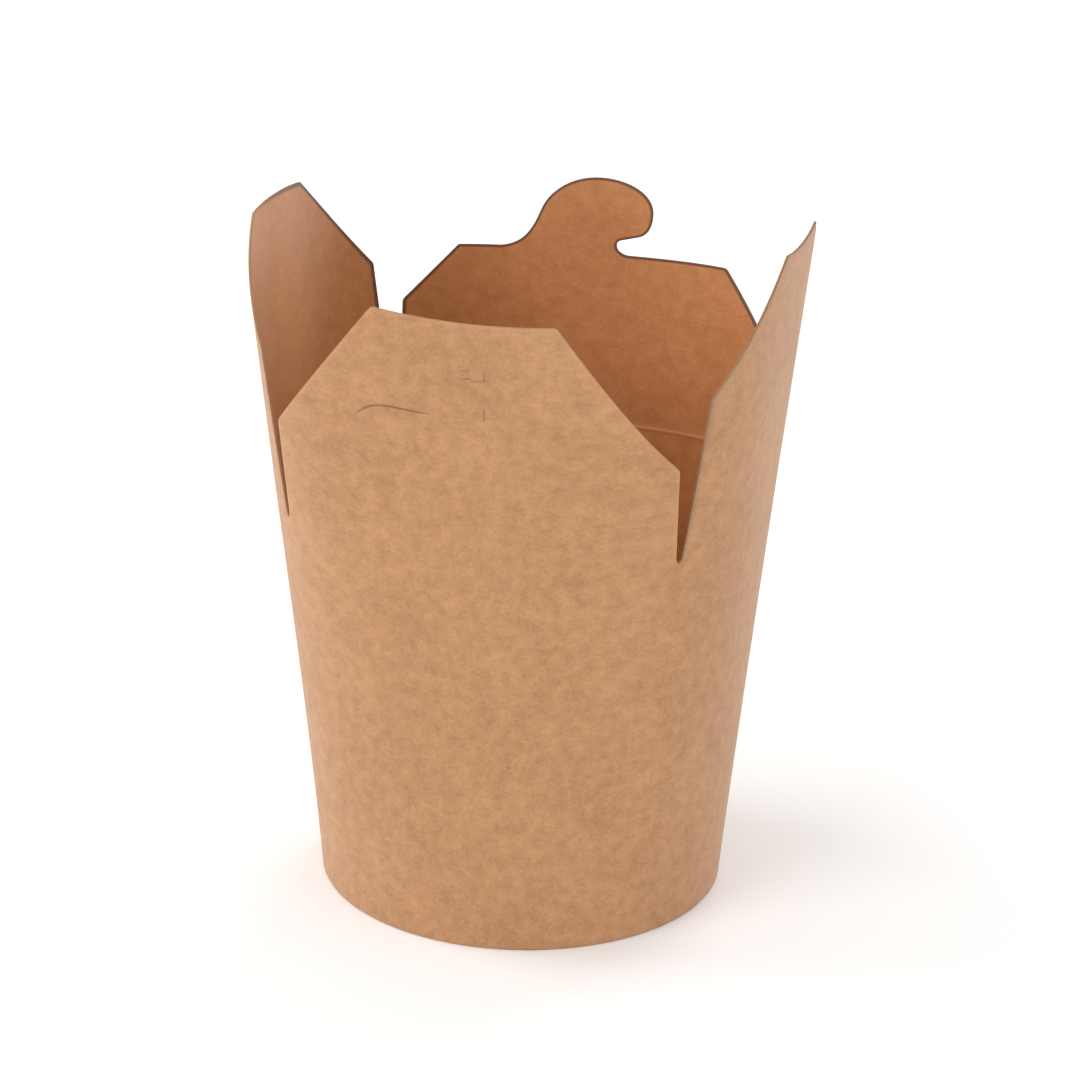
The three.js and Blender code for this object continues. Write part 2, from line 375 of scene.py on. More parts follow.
def hem_crimps_tree():
    """Rows of short upright ribs pressed into the inner face of the hem, laid flat and then rolled."""
    n, given, made = new_group(
        "hem_crimps",
        [("Geometry", SHAPE, None), ("Count", COUNT, 100), ("Rib Width", NUMBER, 0.001),
         ("Rib Height", NUMBER, 0.004), ("Rib Depth", NUMBER, 0.0002), ("Board Depth", NUMBER, 0.002),
         ("Middle", NUMBER, 0.003), *ROLL_SOCKETS, ("Finish", FINISH, None)],
        [("Geometry", SHAPE)], "GeometryNodeTree",
    )
    size = given.outputs
    pitch = n.math("DIVIDE", n.math("MULTIPLY", size["Sheet Radius"], 2 * math.pi), size["Count"])
    depth = n.math("MULTIPLY", size["Board Depth"], -1.0)
    start = n.add("ShaderNodeCombineXYZ", {0: 0.0, 1: size["Middle"], 2: depth})
    step = n.add("ShaderNodeCombineXYZ", {0: pitch})
    row = n.add(
        "GeometryNodeMeshLine",
        {"Count": size["Count"], "Start Location": start.outputs[0], "Offset": step.outputs[0]},
        mode="OFFSET", count_mode="TOTAL",
    )
    rib = n.add("GeometryNodeMeshUVSphere", {"Segments": 8, "Rings": 6, "Radius": 0.5})
    shape = n.add(
        "ShaderNodeCombineXYZ", {0: size["Rib Width"], 1: size["Rib Height"], 2: size["Rib Depth"]}
    )
    rounded = n.add("GeometryNodeTransform", {"Geometry": rib.outputs[0], "Rotation": (-math.pi / 2, 0, 0)})
    placed = n.add(
        "GeometryNodeInstanceOnPoints",
        {"Points": row.outputs[0], "Instance": rounded.outputs[0], "Scale": shape.outputs[0]},
    )
    solid = n.add("GeometryNodeRealizeInstances", {"Geometry": placed.outputs[0]})
    flat = n.add("GeometryNodeInputPosition").outputs[0]
    marked = n.add(
        "GeometryNodeStoreNamedAttribute", {"Geometry": solid.outputs[0], "Name": "sheet", "Value": flat},
        data_type="FLOAT2", domain="CORNER",
    )
    rolled = roll(n, given, marked.outputs[0])
    smooth = n.add("GeometryNodeSetShadeSmooth", {"Geometry": rolled})
    done = n.add("GeometryNodeSetMaterial", {"Geometry": smooth.outputs[0], "Material": size["Finish"]})
    n.tree.links.new(done.outputs[0], made.inputs["Geometry"])
    return n.tree


ROLLED_PLACE = rolled_place_group(wall_rule_group())


def grow(obj, tree, values):
    """Runs a tree on an object and keeps the result as its plain mesh."""
    modifier = obj.modifiers.new(tree.name, "NODES")
    modifier.node_group = tree
    for socket in tree.interface.items_tree:
        if socket.in_out == "INPUT" and socket.name in values:
            modifier[socket.identifier] = values[socket.name]
    bpy.context.view_layer.update()
    graph = bpy.context.evaluated_depsgraph_get()
    mesh = bpy.data.meshes.new_from_object(
        obj.evaluated_get(graph), preserve_all_data_layers=True, depsgraph=graph
    )
    obj.modifiers.remove(modifier)
    obj.data = mesh
    # A shape that starts from an empty mesh comes with an empty first material.
    if None in mesh.materials[:]:
        finishes = [material for material in mesh.materials if material]
        mesh.materials.clear()
        for material in finishes:
            mesh.materials.append(material)
        mesh.polygons.foreach_set("material_index", [0] * len(mesh.polygons))
    return obj


# --- meshes -------------------------------------------------------------------------------

def linked(name, data):
    """A new object in the scene that shows a mesh, light or camera."""
    obj = bpy.data.objects.new(name, data)
    bpy.context.scene.collection.objects.link(obj)
    return obj


def close_up(mesh, sharp=35):
    """Turns every face outwards and smooths the shading between sharp edges."""
    closed = bmesh.new()
    closed.from_mesh(mesh)
    bmesh.ops.recalc_face_normals(closed, faces=closed.faces)
    closed.to_mesh(mesh)
    closed.free()
    mesh.shade_smooth()
    mesh.set_sharp_from_angle(angle=math.radians(sharp))
    mesh.validate()


def board_mesh(name, points, faces, sheet_uv, sides):
    """A mesh from millimetre points, with a (round, up) pair by face corner and a side by face."""
    mesh = bpy.data.meshes.new(name)
    mesh.from_pydata((np.asarray(points) * MM).tolist(), [], [list(map(int, f)) for f in faces])
    layer = mesh.uv_layers.new(name="sheet")
    layer.data.foreach_set("uv", (np.asarray(sheet_uv, float) * MM).astype(np.float32).ravel())
    for material in BOARD_FACES:
        mesh.materials.append(material)
    mesh.polygons.foreach_set("material_index", np.asarray(sides, np.int32))
    side = mesh.attributes.new("side", "INT", "FACE")
    side.data.foreach_set("value", np.asarray(sides, np.int32))
    return mesh


def rolled_piece(name, flat, sharp=35):
    """Rolls a flat board mesh into the box by the wall's rule."""
    finishes = dict(zip(FACE_NAMES, BOARD_FACES))
    obj = grow(linked(name, flat), ROLLED_BOARD, {**ROLL_SIZES, **finishes})
    close_up(obj.data, sharp)
    return obj


def flat_band(name, angles, profile, sides):
    """A closed profile of (depth, z) laid along the flat sheet, its far end joined to its start."""
    n, m = len(profile), len(angles)
    depth, z = np.array(profile, float).T
    points = np.stack([np.repeat(angles, n) * SHEET_R, np.tile(z, m), np.tile(-depth, m)], -1)
    faces, uv, kinds = [], [], []
    for i in range(m):
        k = (i + 1) % m
        here, there = angles[i], angles[k] + (2 * math.pi if k == 0 else 0)
        for j in range(n):
            l = (j + 1) % n
            faces.append((i * n + j, k * n + j, k * n + l, i * n + l))
            corners = ((here, j), (there, j), (there, l), (here, l))
            uv += [(phi * SHEET_R, z[row]) for phi, row in corners]
            kinds.append(sides[j])
    return board_mesh(name, points, faces, uv, kinds)


class Pen:
    """Draws an outline point by point through lines and curves."""

    def __init__(self, points):
        self.points = points

    def line(self, x, z):
        """A straight run of points to a place."""
        x0, z0 = self.points[-1]
        count = max(1, round(math.hypot(x - x0, z - z0) / LINE_STEP))
        for i in range(1, count + 1):
            t = i / count
            self.points.append((x0 + (x - x0) * t, z0 + (z - z0) * t))

    def curve(self, *handles, steps):
        """A smooth curve drawn towards each handle in turn, which ends at the last."""
        chain = [self.points[-1], *handles]
        for i in range(1, steps + 1):
            t = i / steps
            layer = [np.array(p, float) for p in chain]
            while len(layer) > 1:
                layer = [p * (1 - t) + q * t for p, q in zip(layer, layer[1:])]
            self.points.append(tuple(layer[0]))


def flap_outline(name):
    """Outline of a flap seen square on, from its left notch along the crease and round."""
    flap = FLAPS[name]
    feet = notch_angles(name)
    crease = round_wall(feet, np.full(len(feet), CREASE_Z))
    across = np.sort(crease[:, 0] if name in WIDE_FLAPS else crease[:, 1])
    end = across[-1]
    sx, sh = flap["shoulder"]
    cx, ch = flap["crown"]
    foot = flap["foot"]

    def at(x, h):
        return x, CREASE_Z + h + flap["tilt"] * x

    r = CORNER_R
    side = np.array([sx - foot, sh]) / math.hypot(sx - foot, sh)
    right, left = cx + flap["shift"], cx - flap["shift"]

    def chamfer(c):
        """Direction of the chamfer up to a crown corner, and the handle that swells it."""
        along = np.array([c - sx, ch - sh]) / math.hypot(c - sx, ch - sh)
        swell = 2 * flap["bulge"]
        return along, ((sx + c) / 2 + swell * along[1], (sh + ch) / 2 - swell * along[0])

    pen = Pen([(x, CREASE_Z) for x in across])
    notch = [(end - 0.02, CREASE_Z + 0.2), (foot + 0.03, CREASE_Z + 0.3), (foot, CREASE_Z + NOTCH_FOOT)]
    pen.curve(*notch, steps=6)
    along, middle = chamfer(right)
    pen.line(*at(sx - side[0] * r, sh - side[1] * r))
    pen.curve(at(sx, sh), at(sx + along[0] * r, sh + along[1] * r), steps=5)
    pen.curve(at(*middle), at(right - along[0] * r, ch - along[1] * r), steps=20)
    pen.curve(at(right, ch), at(right - r, ch), steps=5)
    if name == "back":
        hook_tab(pen)
    elif flap["dip"]:
        pen.curve(at((right - left) / 2, ch - 2 * flap["dip"]), at(-left + r, ch), steps=16)
    else:
        pen.line(*at(-left + r, ch))
    along, middle = chamfer(left)
    pen.curve(at(-left, ch), at(-left + along[0] * r, ch - along[1] * r), steps=5)
    pen.curve(at(-middle[0], middle[1]), at(-sx - along[0] * r, sh + along[1] * r), steps=20)
    pen.curve(at(-sx, sh), at(-sx + side[0] * r, sh - side[1] * r), steps=5)
    pen.line(-foot, CREASE_Z + NOTCH_FOOT)
    pen.curve(*[(-x, z) for x, z in notch[1::-1]], (across[0], CREASE_Z), steps=6)
    return np.array(pen.points[:-1])


def hook_tab(pen):
    """The tab on the back flap's top edge, its head leaning right over an undercut slot."""
    z = CREASE_Z + FLAPS["back"]["crown"][1]
    pen.line(8.6, z - 0.1)
    pen.curve((5, z - 0.3), (4.4, z + 2.5), (6, z + 3), steps=14)
    pen.line(10.1, z + 4.1)
    pen.curve((12.4, z + 4.8), (13, z + 7.5), (12.9, z + 9.6), steps=10)
    pen.curve((12.7, z + 13.4), (7.6, z + 16.1), (1.5, z + 16.1), steps=14)
    pen.curve((-5, z + 16.1), (-10, z + 12.4), (-11.6, z + 8.4), steps=14)
    pen.curve((-13.6, z + 3.2), (-15.6, z + 0.6), (-20, z - 0.05), steps=14)
    pen.line(-FLAPS["back"]["crown"][0] + CORNER_R, z - 0.15)


def slit_outline():
    """The curved slit in the front flap, a narrow closed loop with pointed ends."""
    knots = np.array(SLIT)
    reach = np.concatenate([[0], np.cumsum(np.hypot(*np.diff(knots, axis=0).T))])
    s = np.linspace(0, reach[-1], SLIT_POINTS)
    coarse = np.stack([np.interp(s, reach, knots[:, 0]), np.interp(s, reach, knots[:, 1])], -1)
    for _ in range(3):
        coarse[1:-1] = (coarse[:-2] + 2 * coarse[1:-1] + coarse[2:]) / 4
    along = np.gradient(coarse, axis=0)
    along /= np.linalg.norm(along, axis=1, keepdims=True)
    side = np.stack([-along[:, 1], along[:, 0]], -1)
    order = np.arange(SLIT_POINTS)
    width = SLIT_W / 2 * np.minimum(1, np.minimum(order, order[::-1]) / 2)[:, None]
    upper = coarse + side * width
    lower = coarse - side * width
    loop = np.concatenate([lower, upper[-2:0:-1]])
    return loop + (0, CREASE_Z)


def inside_loop(points, loop):
    """Whether each point lies inside a closed loop."""
    x, y = points[:, 0], points[:, 1]
    hit = np.zeros(len(points), bool)
    for (x0, y0), (x1, y1) in zip(loop, np.roll(loop, -1, axis=0)):
        cross = (y0 > y) != (y1 > y)
        with np.errstate(divide="ignore", invalid="ignore"):
            hit ^= cross & (x < (x1 - x0) * (y - y0) / (y1 - y0) + x0)
    return hit


def gap_to_loop(points, loop):
    """Distance from each point to the nearest side of a closed loop."""
    best = np.full(len(points), np.inf)
    for a, b in zip(loop, np.roll(loop, -1, axis=0)):
        d = b - a
        t = np.clip(((points - a) @ d) / max(d @ d, 1e-12), 0, 1)
        best = np.minimum(best, np.hypot(*(points - a - t[:, None] * d).T))
    return best


def outward(loop):
    """Unit direction out of the loop at each of its points, for a loop drawn anticlockwise."""
    d = np.roll(loop, -1, axis=0) - np.roll(loop, 1, axis=0)
    n = np.stack([d[:, 1], -d[:, 0]], -1)
    return n / np.maximum(np.linalg.norm(n, axis=1, keepdims=True), 1e-9)


def lift(name, uv):
    """How far the board stands out of its even curve: the lip under the slit is pushed out a little."""
    out = np.zeros(len(uv))
    if name == "front":
        x, h = uv[:, 0], uv[:, 1] - CREASE_Z
        knots = np.array(SLIT)
        below = np.interp(x, knots[:, 0], knots[:, 1]) - h
        span = np.clip((x - knots[0, 0]) / LIP_ENDS, 0, 1) * np.clip((knots[-1, 0] - x) / LIP_ENDS, 0, 1)
        out = LIP * span * np.where(below > -0.01, np.exp(-((below / LIP_REACH) ** 2)), 0)
    return out


def flap_points(name, outline, slit):
    """Flat points of a flap: its cut loops first, then fringes beside them, crease rows and a grid."""
    cut_loop = outline - outward(outline) * CUT_ROUND * (outline[:, 1:] > CREASE_Z + ON_CREASE)
    loops = [cut_loop] + ([slit] if slit is not None else [])
    reach = FLAPS[name]["fringe"]
    fringe = outline - outward(outline) * reach
    fringe = fringe[fringe[:, 1] > CREASE_Z + FRINGE_Z]
    fringe = fringe[inside_loop(fringe, outline)]
    fringe = fringe[gap_to_loop(fringe, outline) > reach * 0.8]
    crease = outline[outline[:, 1] < CREASE_Z + ON_CREASE]
    crease = crease[np.abs(crease[:, 0]) < FLAPS[name]["foot"] - 0.35]
    loose = [fringe] + [crease + (0, up) for up in CREASE_ROWS]
    step = FLAP_GRID
    lo, hi = outline.min(0), outline.max(0)
    gz = np.arange(CREASE_Z + CREASE_ROWS[-1] + step * 0.8, hi[1], step)
    gx = np.arange(lo[0], hi[0], step)
    grid = np.array([(x + k % 2 * step / 2, z) for k, z in enumerate(gz) for x in gx])
    grid = grid[inside_loop(grid, outline)]
    grid = grid[gap_to_loop(grid, outline) > reach + step * 0.4]
    if slit is not None:
        grid = grid[gap_to_loop(grid, slit) > SLIT_FRINGE + step * 0.4]
        loose.append(slit + outward(slit) * SLIT_FRINGE)
    return loops, np.concatenate([*loose, grid])


def cut_flat(loops, loose):
    """Triangles between closed loops and loose points, and where each given point ended up."""
    edges, start = [], 0
    for loop in loops:
        n = len(loop)
        edges += [(start + i, start + (i + 1) % n) for i in range(n)]
        start += n
    flat = np.concatenate([*loops, loose])
    spots, _, triangles, sources, _, _ = delaunay_2d_cdt([Vector(p) for p in flat], edges, [], 1, 1e-5)
    plane, triangles = np.array([tuple(spot) for spot in spots]), np.array(triangles)
    place = {given: i for i, merged in enumerate(sources) for given in merged}
    for hole in loops[1:]:
        triangles = triangles[~inside_loop(plane[triangles].mean(1), hole)]
    tri = plane[triangles]
    turn = np.cross(tri[:, 1] - tri[:, 0], tri[:, 2] - tri[:, 0])
    return plane, np.where((turn > 0)[:, None], triangles, triangles[:, ::-1]), place


def edge_rim_level(name, loop, is_slit):
    """How strongly a rim is painted along a cut edge at each of its points: none at the crease, less
    towards a slit's ends. Along a slit the rim is painted shade; along the back and side flaps it is a dark
    rim, partly painted shade and partly burr.
    """
    rim_level = (loop[:, 1] > CREASE_Z + 0.3).astype(float)
    x = loop[:, 0]
    if is_slit:
        from_left = np.clip((x - SLIT[0][0]) / SLIT_FADE[0], 0, 1)
        from_right = np.clip((SLIT[-1][0] - x) / SLIT_FADE[1], 0, 1)
        return rim_level * (from_left * from_right)
    level, slope = FLAPS[name]["rim_strength"]
    return rim_level * np.clip(level + slope * x, LEAST_RIM, 1)


def flap_piece(name):
    """A flap cut to its outline, bent to its curve and given the board's thickness."""
    outline = flap_outline(name)
    loops, loose = flap_points(name, outline, slit_outline() if name == "front" else None)
    plane, triangles, place = cut_flat(loops, loose)

    def surface(u, z):
        return flap_face(name, u, z)

    raised = lift(name, plane)
    skin = into_board(surface, plane[:, 0], plane[:, 1], -raised)
    lining = into_board(surface, plane[:, 0], plane[:, 1], BOARD + crease_bead(plane[:, 1]) - raised)
    n = len(plane)
    points, flat_of = [skin, lining], [plane, plane]
    faces = [tuple(t) for t in triangles] + [tuple(t[::-1] + n) for t in triangles]
    sides = [OUTER] * len(triangles) + [INNER] * len(triangles)
    # Edge marks for the painted rims: the dark rim along the back and side flaps is partly painted shade
    # and partly burr, and the rim along the slit is painted shade.
    labels = ("clean_edge" if name == "front" else "shade_and_burr_edge", "slit_shade")
    marks = {label: np.zeros(2 * n) for label in labels}
    total, start = 2 * n, 0
    # Each loop's cut face: its corners on the skin and the lining, and two rings between them.
    for loop, own in zip(loops, labels):
        count = len(loop)
        ids = np.array([place[start + i] for i in range(count)])
        start += count
        rim = loop if own == "slit_shade" else outline
        up = lift(name, loop)
        points += [
            into_board(surface, rim[:, 0], rim[:, 1], depth - up) for depth in (CUT_IN, BOARD - CUT_IN)
        ]
        flat_of += [rim, rim]
        rim_level = edge_rim_level(name, loop, own == "slit_shade")
        marks[own][ids] = marks[own][ids + n] = rim_level
        for label in labels:
            ring = rim_level if label == own else np.zeros(count)
            marks[label] = np.concatenate([marks[label], ring, ring])
        rings = [ids, total + np.arange(count), total + count + np.arange(count), ids + n]
        total += 2 * count
        for upper, lower in zip(rings, rings[1:]):
            for i in range(count):
                j = (i + 1) % count
                faces.append((upper[i], lower[i], lower[j], upper[j]))
                sides.append(CUT)
    points, flat_of = np.concatenate(points), np.concatenate(flat_of)
    angle = sheet_angle(points, FLAPS[name]["middle"]) * SHEET_R
    uv = [(angle[i], flat_of[i, 1]) for f in faces for i in f]
    mesh = board_mesh(f"{name}_flap", points, faces, uv, sides)
    for label, values in marks.items():
        mesh.attributes.new(label, "FLOAT", "POINT").data.foreach_set("value", values.astype(np.float32))
    close_up(mesh)
    return linked(f"{name}_flap", mesh)


def notch_angles(name):
    """Angles of the points along a flap's crease, from notch to notch."""
    flap = FLAPS[name]
    middle, half = math.radians(flap["middle"]), math.radians(flap["half"])
    return np.linspace(middle - half, middle + half, 69 if name in WIDE_FLAPS else 55)


def sleeve_piece():
    """The tapering wall with its lower edge turned in and up as a hem."""
    angles = np.concatenate([notch_angles(name)[:-1] for name in ("left", "front", "right", "back")])
    hem = 2 * (BOARD + LAYER_GAP)
    rows = [CREASE_Z - up for up in CREASE_ROWS[::-1]] + [CREASE_Z]
    heights = [*np.linspace(1.2, rows[0] - 1.6, 42), *rows]
    # Depth, height and side, up the outer face, down the inner one and round the hem.
    profile = [(0, z, OUTER) for z in [FOLD_OUT[0][1], *heights]]
    profile[-1] = (0, CREASE_Z, CUT)
    profile += [(BOARD + crease_bead(z), z, INNER) for z in heights[::-1]]
    profile += [(BOARD + depth, z, INNER) for depth, z in FOLD_IN]
    profile += [(hem - depth, z, INNER) for depth, z in FOLD_IN[::-1]]
    profile += [(hem, HEM_H, CUT), (hem + BOARD, HEM_H, OUTER)]
    profile += [(hem + BOARD - depth, z, OUTER) for depth, z in FOLD_OUT]
    profile += [(depth, z, OUTER) for depth, z in FOLD_OUT[:0:-1]]
    sides = [row[2] for row in profile]
    band = flat_band("sleeve", angles, [row[:2] for row in profile], sides)
    return rolled_piece("sleeve", band, sharp=50)


def hem_crimps_piece():
    """Upright ribs that the closing tool presses into the inner face of the hem."""
    start = linked("hem_crimps", bpy.data.meshes.new("hem_crimps"))
    sizes = {
        "Count": CRIMPS, "Rib Width": CRIMP_WIDTH * MM, "Rib Height": CRIMP_HEIGHT * MM,
        "Rib Depth": CRIMP_DEPTH * MM, "Board Depth": (2 * (BOARD + LAYER_GAP) + BOARD) * MM,
        "Middle": CRIMP_Z * MM, "Finish": kraft_outer,
    }
    return grow(start, hem_crimps_tree(), {**ROLL_SIZES, **sizes})


def lap_piece(name, inner):
    """The glued lap of the sleeve's two ends: a free edge that thins out into the other layer."""
    middle = math.radians(FLAPS["back"]["middle"] + NOTCH) - 2 * math.pi
    s = np.linspace(0, LAP_TAPER, 15)
    rise = BOARD * LAP_RISE * (1 - (s / LAP_TAPER) ** 2 * (3 - 2 * s / LAP_TAPER))
    round_mm = middle * SHEET_R + (-1 if inner else 1) * (LAP_HALF - s)
    # The inside edge starts just over the bottom disc, the outside one just over the foot's rounding.
    low, top = (DISC_Z + BOARD + 0.1) if inner else 0.35, CREASE_Z - 0.15
    zs = np.concatenate([[low, low + 0.1], np.linspace(low + 2, top - 0.6, 30), [top - 0.1, top]])
    # Its lower and upper ends are rounded off a little.
    thin = np.ones(len(zs))
    thin[[0, -1]] = 0.6
    m, count = len(zs), len(s)
    points = []
    for across, high in zip(round_mm, rise):
        face = BOARD + high * thin if inner else -high * thin
        back = np.full(m, BOARD - LAP_SINK if inner else LAP_SINK)
        for depth in (face, back):
            points.append(np.stack([np.full(m, across), zs, -depth], -1))
    points = np.concatenate(points)
    faces, sides = [], []

    def add_face(side, *corners):
        faces.append([(2 * i + layer) * m + j for i, j, layer in corners])
        sides.append(side)

    for i in range(count):
        for j in range(m):
            k, l = i + 1, j + 1
            if i < count - 1 and j < m - 1:
                add_face(INNER if inner else OUTER, (i, j, 0), (k, j, 0), (k, l, 0), (i, l, 0))
                add_face(CUT, (i, j, 1), (k, j, 1), (k, l, 1), (i, l, 1))
            if i < count - 1 and j in (0, m - 1):
                add_face(CUT, (i, j, 0), (i, j, 1), (k, j, 1), (k, j, 0))
            if j < m - 1 and i in (0, count - 1):
                add_face(CUT, (i, j, 0), (i, l, 0), (i, l, 1), (i, j, 1))
    uv = [points[i][:2] for f in faces for i in f]
    return rolled_piece(name, board_mesh(name, points, faces, uv, sides))


def bottom_piece():
    """The disc inside the sleeve with its skirt folded down into the hem."""
    angles = np.radians(np.linspace(-180, 180, 181)[:-1])
    m = len(angles)
    outer, inner = BOARD + LAYER_GAP, BOARD + LAYER_GAP + BOARD
    top, under = DISC_Z + BOARD, DISC_Z
    rows, labels = [np.array([[0, 0, top - DISC_SAG]])], []

    def ring(depth, z, side, share=1.0):
        """Adds a ring that lies a depth in from the sleeve's outer face, or a share of that ring."""
        row = wall_point(angles, np.full(m, z), np.full(m, depth)) * (share, share, 1)
        row[:, 2] = z
        rows.append(row)
        labels.append(side)

    for share in np.linspace(DISC_FIRST, DISC_LAST, DISC_RINGS):
        ring(inner, top - DISC_SAG * (1 - share ** 2), INNER, share)
    for depth, z in (
        (outer + 1.1, top - 0.02), (outer + 0.55, top - 0.12), (outer + 0.2, top - 0.38),
        (outer, top - 0.9), (outer, SKIRT_MIDDLE), (outer, SKIRT_FOOT),
    ):
        ring(depth, z, INNER)
    for depth, z in (
        (inner, SKIRT_FOOT), (inner, SKIRT_MIDDLE), (inner, under - 0.5), (inner + 0.15, under - 0.15),
        (inner + 0.5, under),
    ):
        ring(depth, z, OUTER)
    for share in np.linspace(DISC_LAST, DISC_FIRST, DISC_RINGS):
        ring(inner, under - DISC_SAG * (1 - share ** 2), OUTER, share)
    rows.append(np.array([[0, 0, under - DISC_SAG]]))
    points = np.concatenate(rows)
    faces, sides, end = [], [], len(points) - 1
    for i in range(m):
        j = (i + 1) % m
        faces.append((0, 1 + i, 1 + j))
        sides.append(INNER)
        for k in range(len(labels) - 1):
            a = 1 + k * m
            faces.append((a + i, a + m + i, a + m + j, a + j))
            sides.append(labels[k + 1])
        a = 1 + (len(labels) - 1) * m
        faces.append((end, a + j, a + i))
        sides.append(OUTER)
    uv = [points[i][:2] for f in faces for i in f]
    mesh = board_mesh("bottom", points, faces, uv, sides)
    close_up(mesh)
    return linked("bottom", mesh)


# --- kraft board --------------------------------------------------------------------------

# Fibres: their turn on the sheet, then how fine they are along and across.
DARK_FIBRES = ((1.35, 0.5, 6.0), (0.55, 0.6, 6.6), (-0.7, 0.6, 6.2), (2.6, 0.45, 7.0))
PALE_FIBRES = ((2.2, 0.5, 6.0), (-0.2, 0.5, 6.8), (1.0, 0.6, 6.4))
# Flecks of two sizes: how close they come, then the smallest and the largest.
FLECK_SIZES = ((0.24, 0.010, 0.038), (0.52, 0.014, 0.052))
FLUTE_GRAIN = (0.34, 0.018, 1.0)


def kraft_grain_group():
    """Clouds of pulp, fibres, flecks, the surface's tooth and faint flutes, in sheet millimetres."""
    n, given, made = new_group(
        "kraft_grain",
        [("Sheet", VECTOR, None), ("Fleck Share", NUMBER, 0.5)],
        [(k, NUMBER) for k in ("Tone", "Cloud", "Fibre", "Pale Fibre", "Fleck", "Tooth", "Flute")],
    )
    at = n.vector("SCALE", given.outputs["Sheet"], scale=1 / MM)
    sway = n.vector("SCALE", n.noise(at, 0.35, 2.0, colour=True), scale=1.6)
    swayed = n.vector("ADD", at, sway)
    tone = n.noise(at, 0.045, 2.0, 0.5)
    coarse = n.noise(swayed, 0.42, 2.0, 0.55)
    fine = n.noise(at, 1.4, 2.0, 0.55)
    cloud = n.math("MULTIPLY_ADD", coarse, 0.6, n.math("MULTIPLY", fine, 0.4))

    def hairs(fibres):
        found = 0.0
        for turn, along, across in fibres:
            turned = n.add(
                "ShaderNodeMapping",
                {"Vector": swayed, "Rotation": (0, 0, turn), "Scale": (along, across, 1)},
            )
            strand = n.ramp(n.noise(turned.outputs[0], 1.0, 1.5, 0.5, 0.3), 0.62, 0.76)
            found = n.math("MAXIMUM", found, strand)
        return found

    dark, pale = hairs(DARK_FIBRES), hairs(PALE_FIBRES)
    fleck = 0.0
    for scale, small, large in FLECK_SIZES:
        cells = n.add("ShaderNodeTexVoronoi", {"Vector": swayed, "Scale": scale, "Randomness": 1.0})
        pick = n.add("ShaderNodeSeparateColor", {0: cells.outputs["Color"]}).outputs
        chosen = n.math("LESS_THAN", pick[0], given.outputs["Fleck Share"])
        size = n.ramp(pick[1], 0, 1, small, large, smooth=False)
        spot = n.ramp(n.math("DIVIDE", cells.outputs["Distance"], size), 0.4, 1.2, 1.0, 0.0)
        weight = n.math("MULTIPLY", chosen, n.ramp(pick[2], 0, 1, 0.3, 1.0, smooth=False))
        fleck = n.math("MAXIMUM", fleck, n.math("MULTIPLY", spot, weight))
    tooth = n.math("MULTIPLY_ADD", fine, 0.5, n.math("MULTIPLY", dark, -0.3))
    tooth = n.math("MULTIPLY_ADD", n.noise(at, 7.0, 2.0, 0.6), 0.45, tooth)
    tooth = n.math("MULTIPLY_ADD", pale, 0.3, tooth)
    flute = n.noise(n.vector("MULTIPLY", at, FLUTE_GRAIN), 1.0, 2.0, 0.5)
    for key, value in (
        ("Tone", tone), ("Cloud", cloud), ("Fibre", dark), ("Pale Fibre", pale), ("Fleck", fleck),
        ("Tooth", tooth), ("Flute", flute),
    ):
        n.tree.links.new(value, made.inputs[key])
    return n.tree


def scored_line_group():
    """Mask of a straight mark pressed or cut into the sheet between two places, in millimetres."""
    n, given, made = new_group(
        "scored_line",
        [("Sheet", VECTOR, None), ("From", VECTOR, (0, 0, 0)), ("To", VECTOR, (1, 0, 0)),
         ("Width", NUMBER, 0.3)],
        [("Mark", NUMBER)],
    )
    at = n.vector("SCALE", given.outputs["Sheet"], scale=1 / MM)
    reach = n.vector("SUBTRACT", at, given.outputs["From"])
    line = n.vector("SUBTRACT", given.outputs["To"], given.outputs["From"])
    share = n.math(
        "DIVIDE", n.vector("DOT_PRODUCT", reach, line), n.vector("DOT_PRODUCT", line, line), clamp=True
    )
    near = n.vector("SCALE", line, scale=share)
    away = n.vector("LENGTH", n.vector("SUBTRACT", reach, near))
    half = n.math("DIVIDE", away, given.outputs["Width"])
    n.tree.links.new(n.ramp(half, 0.2, 1.0, 1.0, 0.0), made.inputs["Mark"])
    return n.tree


GRAIN = kraft_grain_group()
SCORED = scored_line_group()


